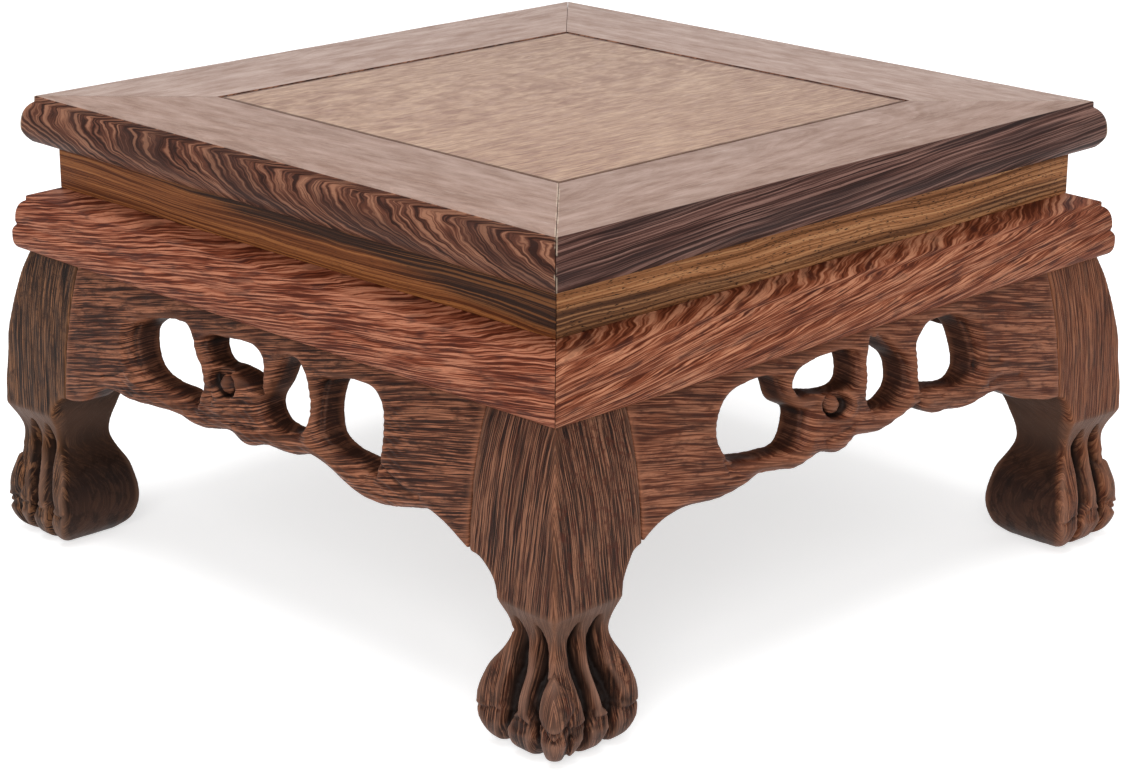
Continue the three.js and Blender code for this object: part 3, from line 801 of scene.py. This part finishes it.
def moulding(name, section, turns, wood, tree):
    """One mitred length, as a plain mesh."""
    points = eased(section, 0.35)
    count = len(points)
    drawing = bpy.data.meshes.new(name + "_section")
    corners = [(out * MM, -height * MM, 0) for out, height in points]
    drawing.from_pydata(corners, [(i, (i + 1) % count) for i in range(count)], [])
    piece = new_object(name, drawing)
    modifier = piece.modifiers.new("mitred_moulding", "NODES")
    modifier.node_group = tree
    modifier[socket_id(tree, "Lengths")] = LENGTHS
    modifier[socket_id(tree, "Glue Line")] = GLUE_LINE * MM
    modifier[socket_id(tree, "Side Turn")] = turns * math.pi / 2
    modifier[socket_id(tree, "Plane Marks")] = PLANE_MARKS * MM
    modifier[socket_id(tree, "Wood")] = wood
    whole = piece.evaluated_get(bpy.context.evaluated_depsgraph_get())
    mesh = bpy.data.meshes.new_from_object(whole)
    piece.modifiers.clear()
    piece.data = mesh
    mesh.name = name
    mesh.shade_smooth()
    mesh.set_sharp_from_angle(angle=SHARP_ANGLE)
    return piece


def slab(name, low, high, ease):
    """A flat board with its edges eased."""
    form = bmesh.new()
    bmesh.ops.create_cube(form, size=1)
    size = Vector(high) - Vector(low)
    centre = (Vector(high) + Vector(low)) / 2
    shape = Matrix.Translation(centre) @ Matrix.Diagonal((*size, 1))
    bmesh.ops.transform(form, verts=form.verts, matrix=shape)
    bmesh.ops.bevel(form, geom=form.edges[:], offset=ease, segments=3, profile=0.5, affect="EDGES")
    bmesh.ops.scale(form, verts=form.verts, vec=(MM, MM, MM))
    bmesh.ops.recalc_face_normals(form, faces=form.faces)
    mesh = bpy.data.meshes.new(name)
    form.to_mesh(mesh)
    form.free()
    mesh.shade_smooth()
    mesh.set_sharp_from_angle(angle=SHARP_ANGLE)
    return new_object(name, mesh)


# Woods

def tone(red, green, blue):
    """A colour as it looks on a screen, from 0 to 255, made linear for the shader."""
    return tuple(
        c / 12.92 if c <= 0.04045 else ((c + 0.055) / 1.055) ** 2.4
        for c in (red / 255, green / 255, blue / 255)
    ) + (1.0,)


def ramp(tree, factor, stops):
    """Colours along a factor, from (place, colour) stops."""
    node = add_node(tree, "ShaderNodeValToRGB", {0: factor})
    elements = node.color_ramp.elements
    while len(elements) < len(stops):
        elements.new(0.5)
    for element, (place, colour) in zip(elements, stops):
        element.position = place
        element.color = tone(*colour)
    return node.outputs[0]


def mix(tree, share, first, second):
    """The first colour, with a share of the second laid over it."""
    first, second = (tone(*colour) if isinstance(colour, tuple) else colour for colour in (first, second))
    return add_node(tree, "ShaderNodeMix", {0: share, 6: first, 7: second}, data_type="RGBA").outputs[2]


def spread(tree, value, low, high, to_low=0.0, to_high=1.0):
    """A value between low and high moved to its place between to_low and to_high, and held there."""
    inputs = {0: value, 1: low, 2: high, 3: to_low, 4: to_high}
    return add_node(tree, "ShaderNodeMapRange", inputs, clamp=True).outputs[0]


def noise(tree, vector, detail, roughness=0.5, output="Fac"):
    return add_node(tree, "ShaderNodeTexNoise", {
        "Vector": vector, "Scale": 1.0, "Detail": detail, "Roughness": roughness,
    }).outputs[output]


def stretched(tree, vector, scale, shift):
    inputs = {"Vector": vector, "Scale": scale, "Location": shift}
    return add_node(tree, "ShaderNodeMapping", inputs).outputs[0]


def empty_material(name):
    material = bpy.data.materials.new(name)
    material.use_nodes = True
    material.node_tree.nodes.clear()
    return material


def places_in_side(tree, turns, upright):
    """Places in millimetres, with the piece turned to the front, or a leg's corner to +X."""
    turn = -turns * math.pi / 2 + (math.pi / 4 if upright else 0)
    return add_node(tree, "ShaderNodeMapping", {
        "Vector": tree.nodes.new("ShaderNodeTexCoord").outputs["Object"],
        "Scale": (1000, 1000, 1000), "Rotation": (0, 0, turn),
    }).outputs[0]


def bent_places(tree, here, seed, upright, wander, ripple, ripple_length):
    """Places pushed about by slow and by quick waves, both drawn out along the grain."""
    slow = (1 / 14, 1 / 14, 1 / 50)
    quick = (1 / 2.5, 1 / 2.5, 1 / ripple_length)
    bent = here
    for amount, scale in ((wander, slow), (ripple, quick)):
        scale = scale if upright else scale[::-1]
        shifted = stretched(tree, here, scale, (seed * 7.3, seed * 3.1, seed * 5.7))
        push = pushes(tree, noise(tree, shifted, 1.0, output="Color"), amount * 4)
        bent = vector_math(tree, "ADD", {0: bent, 1: push})
    return bent


def grain_places(tree, bent, pith, upright, slope, taper):
    """Places counted along the grain, through the growth layers, and across within a layer."""
    if upright:
        first, second, along = split(tree, bent)
    else:
        along, first, second = split(tree, bent)
    first = reckon(tree, "ADD", first, times(tree, along, slope[0]))
    second = reckon(tree, "ADD", second, times(tree, along, slope[1]))
    if upright:
        layer = reckon(tree, "MULTIPLY_ADD", first, -0.6, reckon(tree, "ABSOLUTE", second))
        layer = reckon(tree, "MULTIPLY_ADD", along, taper, layer)
    else:
        out, up = reckon(tree, "ADD", first, pith[0]), reckon(tree, "SUBTRACT", second, pith[1])
        layer = vector_math(tree, "LENGTH", {0: joined(tree, out, up, 0)}, "Value")
        layer = reckon(tree, "SUBTRACT", layer, times(tree, along, taper))
    across = times(tree, reckon(tree, "ADD", first, second), 5.0 if upright else 1.0)
    return joined(tree, along, layer, across)


def gathered_in_streak(tree, broad, here, streak, stain_from):
    """The noise of a stain, raised within a streak along the side and lowered away from it."""
    level, rise, half_width, widening = streak
    along, _, height = split(tree, here)
    middle = reckon(tree, "MULTIPLY_ADD", along, rise, level)
    from_middle = reckon(tree, "ABSOLUTE", reckon(tree, "SUBTRACT", height, middle))
    reach = reckon(tree, "MULTIPLY_ADD", along, widening, half_width)
    loose = reckon(tree, "MULTIPLY_ADD", broad, 0.5, stain_from - 0.22)
    return reckon(tree, "MULTIPLY_ADD", reckon(tree, "SUBTRACT", from_middle, reach), -0.035, loose)


def stained(tree, colour, stain, broad, figure, stain_from, amount):
    """A darker stripe where the broad noise is high, with the light lines showing through."""
    covered = spread(tree, broad, stain_from, stain_from + 0.09)
    veined = spread(tree, figure, 0.6, 0.48, 0.55, 1.0)
    return mix(tree, times(tree, times(tree, covered, veined), amount), colour, stain)


def sheen_and_wear_on_top(tree, colour, here, shift, dark, light, share):
    """Faces that look up are painted pale in patches, a painted sheen mixed with rubbing, with scratches
    along the grain.
    """
    up = split(tree, tree.nodes.new("ShaderNodeNewGeometry").outputs["Normal"])[2]
    patches = noise(tree, stretched(tree, here, (1 / 16, 1 / 4, 1 / 4), shift), 5.0, 0.7)
    sheen_and_rubbing = mix(tree, spread(tree, patches, 0.36, 0.64), dark, light)
    scratches = noise(tree, stretched(tree, here, (1 / 9, 1 / 0.5, 1 / 9), shift), 2.0)
    sheen_and_rubbing = mix(tree, spread(tree, scratches, 0.68, 0.76, 0.0, 0.6), sheen_and_rubbing, (200, 184, 174))
    # faces that look up take the painted sheen and rubbing
    return mix(tree, times(tree, spread(tree, up, 0.93, 0.998), share), colour, sheen_and_rubbing)


def from_sides(tree, here):
    """How far each place lies from the stand's middle in its two level directions."""
    return [reckon(tree, "ABSOLUTE", part) for part in split(tree, here)[:2]]


def filled_mitre(tree, colour, here, shift):
    """Pale filler that is left here and there along the mitres."""
    from_mitre = reckon(tree, "ABSOLUTE", reckon(tree, "SUBTRACT", *from_sides(tree, here)))
    broken = noise(tree, stretched(tree, here, (1 / 6, 1 / 6, 1 / 6), shift), 3.0, 0.7)
    share = times(tree, spread(tree, from_mitre, 0.7, 0.3), spread(tree, broken, 0.44, 0.54))
    return mix(tree, times(tree, share, 0.5), colour, (206, 188, 166))


def joint_shadow_line(tree, colour, here, edge):
    """A painted shadow line round a square panel, from so far out, where it meets the frame."""
    from_middle = reckon(tree, "MAXIMUM", *from_sides(tree, here))
    return mix(tree, spread(tree, from_middle, edge, edge + 0.4, 0.0, 0.8), colour, (70, 44, 34))


def leg_shade_soil_and_sheen(tree, colour, here, shift, behind, hollow, stain):
    """Lighter cove under the shoulder, painted shade on the inner sides, soiled toes, and painted sheen
    with rubbing on the toes.
    """
    level = split(tree, here)[2]
    in_cove = times(tree, spread(tree, level, 38.8, 37.0), spread(tree, level, 28.0, 33.0))
    colour = mix(tree, times(tree, in_cove, 0.7), colour, (104, 76, 62))
    # painted shade on the inner sides, lighter at the sole and the neck
    inner_side_shade = ramp(tree, spread(tree, level, 4, 36), [
        (0.0, (76, 52, 42)), (0.42, (38, 24, 19)), (1.0, (76, 54, 43)),
    ])
    colour = mix(tree, spread(tree, behind, 1.2, 3.4, 0.0, 0.9), colour, inner_side_shade)
    on_foot = spread(tree, level, 27.0, 22.0)
    patches = noise(tree, stretched(tree, here, (0.3, 0.3, 0.2), shift), 4.0, 0.65)
    soiled = times(tree, on_foot, spread(tree, patches, 0.5, 0.6))
    colour = mix(tree, times(tree, soiled, 0.6), colour, stain)
    # painted sheen with rubbing on the toes' ridges
    sheen_and_rubbing = times(tree, on_foot, spread(tree, hollow, 0.4, 0.2, 0.0, 0.55))
    return mix(tree, sheen_and_rubbing, colour, (140, 113, 102))


def carved_shade_and_highlight(tree, colour, here, shift, upright, light, stain):
    """Painted shade in hollows and on sides that lie back, and a painted highlight, partly rubbing, on what
    stands proud.
    """
    hollow, behind = (
        add_node(tree, "ShaderNodeAttribute", attribute_name=mark).outputs["Fac"]
        for mark in ("hollow", "behind")
    )
    if upright:
        colour = leg_shade_soil_and_sheen(tree, colour, here, shift, behind, hollow, stain)
    else:
        # painted shade on the apron's sides that lie back
        colour = mix(tree, spread(tree, behind, 1.8, 4.5, 0.0, 0.78), colour, (34, 19, 14))
    # painted shade in the hollows
    colour = mix(tree, spread(tree, hollow, 0.515, 0.64, 0.0, 0.93), colour, (20, 11, 8))
    # painted highlight, partly rubbing, on what stands proud
    return mix(tree, spread(tree, hollow, 0.42, 0.25, 0.0, 0.35), colour, light)


def wood_surface(tree, colour, figure, open_pores, roughness):
    """Joins a colour to the output, with open pores and raised lines and a dull oiled gloss."""
    height = reckon(tree, "MULTIPLY_ADD", open_pores, -0.4, times(tree, figure, 0.6))
    bump = add_node(tree, "ShaderNodeBump", {"Height": height, "Strength": 0.35, "Distance": 0.0003})
    shader = add_node(tree, "ShaderNodeBsdfPrincipled", {
        "Base Color": colour, "Specular IOR Level": 0.1, "Normal": bump.outputs[0],
        "Roughness": spread(tree, figure, 0.4, 0.6, roughness + 0.07, roughness - 0.05),
    })
    add_node(tree, "ShaderNodeOutputMaterial", {0: shader.outputs[0]})


def figured_wood(
    name, turns, tones, pitch, length, seed,
    pith=(60, 60), upright=False, slope=(0.0, 0.0), taper=0.0,
    wander=0.4, ripple=0.08, ripple_length=9, contrast=1.0,
    stain=None, stain_pitch=8.0, stain_amount=0.6, stain_from=0.5, streak_length=60, streak=None,
    mottle=None, pore=0.5, roughness=0.5, sheen_and_wear_tones=None, joint_shadow=None, filler=False, carved=False,
):
    """Solid wood in growth layers, with light and dark lines, stripes and pores.

    The grain runs along the side, in layers round a pith that is given as out and
    height. In a leg it runs upright, in layers that lean away from the corner on
    both faces. Pitch and length are those of a line. A streak is given as its height
    at the middle of the side, its rise along the side, half its width there, and how
    fast that widens.
    """
    material = empty_material(name)
    tree = material.node_tree
    here = places_in_side(tree, turns, upright)
    bent = bent_places(tree, here, seed, upright, wander, ripple, ripple_length)
    grain = grain_places(tree, bent, pith, upright, slope, taper)
    shift = (seed * 11.7, seed * 1.9, seed * 4.3)
    lines = noise(tree, stretched(tree, grain, (2 / length, 2 / pitch, 0.04), shift), 1.5)
    hairs = noise(tree, stretched(tree, grain, (5 / length, 5.5 / pitch, 0.1), shift), 1.0)
    figure = reckon(tree, "ADD", times(tree, lines, 0.62), times(tree, hairs, 0.38))
    half = 0.1 / contrast
    colour = ramp(tree, figure, list(zip((0.5 - half, 0.5, 0.5 + half), tones)))
    if mottle:
        cloud = noise(tree, stretched(tree, grain, (2 / 9, 2 / 4, 2 / 4), shift), 3.0, 0.6)
        colour = mix(tree, spread(tree, cloud, 0.5, 0.66, 0.0, 0.75), colour, mottle)
    if stain:
        broad = noise(tree, stretched(tree, grain, (1 / streak_length, 2 / stain_pitch, 0.02), shift), 2.0)
        if streak:
            broad = gathered_in_streak(tree, broad, here, streak, stain_from)
        colour = stained(tree, colour, stain, broad, figure, stain_from, stain_amount)
    pores = noise(tree, stretched(tree, grain, (2 / 3.5, 2 / 0.45, 2 / 0.5), shift), 1.0)
    open_pores = spread(tree, pores, 0.62, 0.69)
    colour = mix(tree, times(tree, open_pores, pore), colour, (30, 17, 12))
    # painted sheen and rubbing on faces that look up
    if sheen_and_wear_tones:
        colour = sheen_and_wear_on_top(tree, colour, here, shift, *sheen_and_wear_tones)
    if filler:
        colour = filled_mitre(tree, colour, here, shift)
    # painted shadow round the panel's joint
    if joint_shadow:
        colour = joint_shadow_line(tree, colour, here, joint_shadow)
    # painted shade and highlights on carved pieces
    if carved:
        colour = carved_shade_and_highlight(tree, colour, here, shift, upright, tones[2], stain)
    wood_surface(tree, colour, figure, open_pores, roughness)
    return material


def rail_wood(turns):
    """Rails paler on top from painted sheen and rubbing. The right one is plainer and more purple at its
    edge.
    """
    sheen_and_wear_tones = ((140, 112, 98), (174, 148, 136), 0.86)
    # the far rails get a paler painted sheen
    if turns > 1:
        sheen_and_wear_tones = ((150, 124, 112), (184, 162, 152), 0.9)
    if turns == 1:
        return figured_wood(
            "purple_rail_wood", turns, ((40, 22, 18), (80, 51, 44), (128, 96, 86)),
            pitch=0.65, length=120, seed=3, pith=(70, 160), slope=(0.0, -0.06), wander=0.7,
            stain=(38, 23, 22), stain_pitch=6, stain_amount=0.7, sheen_and_wear_tones=sheen_and_wear_tones, pore=0.3, filler=True,
        )
    return figured_wood(
        SIDES[turns] + "_rail_wood", turns, ((42, 20, 13), (90, 52, 38), (142, 98, 76)),
        pitch=0.62, length=70, seed=5 + turns, pith=(96.5, 118.0), taper=0.13,
        wander=0.8, ripple=0.16, ripple_length=5,
        stain=(50, 30, 25), stain_pitch=5, stain_amount=0.6, sheen_and_wear_tones=sheen_and_wear_tones, pore=0.3, filler=turns == 0,
    )


def panel_wood():
    return figured_wood(
        "panel_wood", 1, ((116, 88, 74), (158, 128, 108), (188, 158, 132)),
        pitch=1.2, length=16, seed=9, pith=(-20, 60), slope=(0.05, 0.0), wander=0.9, ripple=0.3,
        # the panel's top gets a painted sheen with rubbing
        mottle=(148, 120, 110), sheen_and_wear_tones=((154, 126, 114), (182, 155, 137), 0.6),
        joint_shadow=JOINT_SHADOW_FROM, pore=0.4, roughness=0.55,
    )


def waist_wood(turns):
    """Golden boards with one dark streak along each. The right and left ones are paler."""
    if turns % 2:
        return figured_wood(
            SIDES[turns] + "_waist_wood", turns, ((104, 62, 31), (163, 107, 67), (196, 142, 96)),
            pitch=0.9, length=200, seed=12 + turns, pith=(60, 130), wander=0.5, pore=1.0, contrast=0.9,
            stain=(62, 39, 27), stain_pitch=15, stain_amount=0.8,
            streak_length=90, streak=(100.8, -0.008, 2.2, -0.012),
        )
    return figured_wood(
        SIDES[turns] + "_waist_wood", turns, ((80, 40, 18), (118, 66, 34), (156, 98, 54)),
        pitch=0.8, length=200, seed=15 + turns, pith=(70, 128), wander=0.7, pore=0.4,
        stain=(34, 21, 16), stain_pitch=9, stain_amount=0.9,
        streak_length=90, streak=(108.6, -0.018, 2.8, 0.03),
    )


def band_wood(turns):
    if turns % 2:
        tones = ((80, 34, 17), (132, 71, 47), (190, 130, 99))
        slope, contrast = -0.13, 1.0
    else:
        tones = ((72, 28, 14), (122, 62, 41), (182, 119, 91))
        slope, contrast = -0.15, 1.25
    return figured_wood(
        SIDES[turns] + "_band_wood", turns, tones, pitch=0.8, length=40, seed=20 + turns, pith=(85, -100),
        slope=(0.0, slope), wander=0.7, ripple=0.14, contrast=contrast, pore=0.4,
        stain=(58, 26, 21), stain_pitch=3, stain_amount=0.65, stain_from=0.56, streak_length=8,
    )


def apron_wood(turns):
    if turns % 2:
        tones = ((70, 33, 20), (112, 64, 44), (156, 102, 76))
        slope = 0.2
    else:
        tones = ((38, 17, 10), (86, 46, 30), (154, 100, 74))
        slope = -0.2
    return figured_wood(
        SIDES[turns] + "_apron_wood", turns, tones, pitch=0.85, length=38, seed=30 + turns, pith=(85, -120),
        slope=(0.0, slope), wander=0.6, ripple=0.1, contrast=1.3, mottle=tones[0],
        stain=(42, 24, 18), stain_pitch=4, stain_amount=0.5, streak_length=24,
        carved=True, pore=0.35, roughness=0.45,
    )


def leg_wood(turns):
    """Dark legs. The back right one is redder and paler, and the front left one is darker."""
    tones = ((22, 10, 6), (64, 34, 23), (144, 98, 74))
    mottle = (74, 33, 20)
    if turns == 1:
        tones = ((66, 32, 19), (118, 68, 45), (154, 101, 72))
    if turns == 3:
        tones = ((16, 7, 3), (45, 23, 13), (130, 88, 60))
        mottle = (44, 24, 15)
    return figured_wood(
        CORNERS[turns] + "_leg_wood", turns, tones, pitch=0.68, length=45, seed=40 + turns,
        upright=True, taper=0.1, wander=0.5, ripple=0.11, ripple_length=5, contrast=1.45,
        stain=(28, 17, 13), stain_pitch=4, stain_amount=0.5, stain_from=0.54, streak_length=10,
        mottle=mottle, carved=True, pore=0.5, roughness=0.45,
    )


def hidden_wood():
    return figured_wood(
        "hidden_wood", 0, ((92, 62, 44), (128, 92, 68), (150, 112, 84)),
        pitch=1.4, length=60, seed=50, pith=(-40, 40), pore=0.4, roughness=0.7,
    )


def stand_for(piece, node):
    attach(piece, "root")
    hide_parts(node)


def make_panel():
    """The floating panel, which has shrunk away a little more from the right rail."""
    edge = RAIL_INNER - CLEARANCE
    low = (-edge, -edge, PANEL_TOP - PANEL_THICKNESS)
    high = (edge - CLEARANCE, edge, PANEL_TOP)
    return slab("floating_panel", low, high, 0.25)


def build_pedestal():
    tree = moulding_tree()
    for turns, side in enumerate(SIDES):
        rail = moulding(side + "_rail", rail_section(), turns, rail_wood(turns), tree)
        stand_for(rail, side + "_top_rail")
        waist = moulding(side + "_waist", waist_section(), turns, waist_wood(turns), tree)
        stand_for(waist, side + "_waist_board")
        band = moulding(side + "_band", band_section(), turns, band_wood(turns), tree)
        stand_for(band, side + "_band_moulding")
    for turns, apron in enumerate(make_aprons()):
        apron.data.materials.append(apron_wood(turns))
        stand_for(apron, SIDES[turns] + "_apron")
    for turns, leg in enumerate(make_legs()):
        leg.data.materials.append(leg_wood(turns))
        stand_for(leg, CORNERS[turns] + "_leg")
    panel = make_panel()
    panel.data.materials.append(panel_wood())
    stand_for(panel, "top_panel")
    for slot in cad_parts["panel_batten"].material_slots:
        slot.material = hidden_wood()


# Studio, in metres

def make_camera():
    data = bpy.data.cameras.new("studio_camera")
    data.sensor_width = 36
    data.lens = FOCAL_LENGTH
    data.clip_start = 0.01
    camera = new_object("studio_camera", data)
    azimuth, elevation, roll = (math.radians(angle) for angle in VIEW_ANGLES)
    turn = Matrix.Rotation(azimuth, 4, "Z") @ Matrix.Rotation(math.pi / 2 - elevation, 4, "X")
    camera.matrix_world = Matrix.Translation(EYE) @ turn @ Matrix.Rotation(roll, 4, "Z")
    bpy.context.scene.camera = camera


def soft_lamp(name, place, size, power):
    """A round lamp that is aimed at the middle of the stand."""
    data = bpy.data.lights.new(name, "AREA")
    data.shape = "DISK"
    data.size = size
    data.energy = power
    lamp = new_object(name, data)
    lamp.location = place
    toward = Vector((0, 0, 0.06)) - Vector(place)
    lamp.rotation_euler = toward.to_track_quat("-Z", "Y").to_euler()


def seen_directly(tree):
    """1 for what the camera sees, straight or by reflection or through glass."""
    rays = tree.nodes.new("ShaderNodeLightPath").outputs
    seen = reckon(tree, "MAXIMUM", rays["Is Camera Ray"], rays["Is Glossy Ray"])
    return reckon(tree, "MAXIMUM", seen, rays["Is Transmission Ray"])


def make_studio():
    scene = bpy.context.scene
    scene.view_settings.view_transform = "Standard"
    world = bpy.data.worlds.new("studio")
    scene.world = world
    world.use_nodes = True
    tree = world.node_tree
    tree.nodes.clear()
    strength = spread(tree, seen_directly(tree), 0, 1, ROOM_LIGHT, 1.0)
    light = add_node(tree, "ShaderNodeBackground", {0: (1, 1, 1, 1), 1: strength})
    add_node(tree, "ShaderNodeOutputWorld", {0: light.outputs[0]})
    soft_lamp("overhead_lamp", (0.1, -0.2, 1.2), 0.9, 8.5)
    soft_lamp("front_lamp", (0.9, -1.1, 0.7), 0.8, 9.0)


def floor_paper():
    """White paper that glows for the camera, so it is white but still takes a faint shadow."""
    material = empty_material("floor_paper")
    tree = material.node_tree
    paper = add_node(tree, "ShaderNodeBsdfDiffuse", {0: (0.8, 0.8, 0.8, 1)})
    glow = add_node(tree, "ShaderNodeEmission", {
        0: (1, 1, 1, 1), 1: times(tree, seen_directly(tree), FLOOR_GLOW),
    })
    both = add_node(tree, "ShaderNodeAddShader", {0: paper.outputs[0], 1: glow.outputs[0]})
    add_node(tree, "ShaderNodeOutputMaterial", {0: both.outputs[0]})
    return material


def make_floor():
    mesh = bpy.data.meshes.new("floor")
    reach = 4.0
    corners = [(-reach, -reach, 0), (reach, -reach, 0), (reach, reach, 0), (-reach, reach, 0)]
    mesh.from_pydata(corners, [], [(0, 1, 2, 3)])
    mesh.materials.append(floor_paper())
    floor = new_object("floor", mesh)


make_camera()
make_studio()
make_floor()
build_pedestal()
